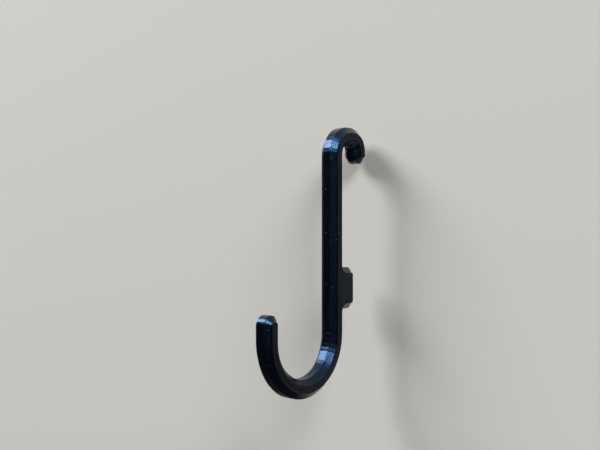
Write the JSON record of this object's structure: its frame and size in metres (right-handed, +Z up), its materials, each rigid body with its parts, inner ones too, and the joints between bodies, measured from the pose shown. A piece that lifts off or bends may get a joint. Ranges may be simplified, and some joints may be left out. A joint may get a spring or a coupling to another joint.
{
  "type": "pegboard hook",
  "caption": "Printed plastic J hook on a straight shank, with a catch peg and a lower peg that hang it on a slotted pegboard to hold small tools.",
  "frame": {"origin": "square corner of the elbow: on the board's front face, at the underside of the upper peg, in the middle of the hook's width", "axes": "+Z up, +Y into the board, so the open hook is towards -Y, and +X across the hook"},
  "size_m": [0.0048, 0.0376, 0.0633],
  "materials": {
    "black_plastic": "black printed plastic with a satin sheen and fine layer lines that follow the bar"
  },
  "bodies": {
    "root": {"hook": "black_plastic"}
  },
  "joints": []
}
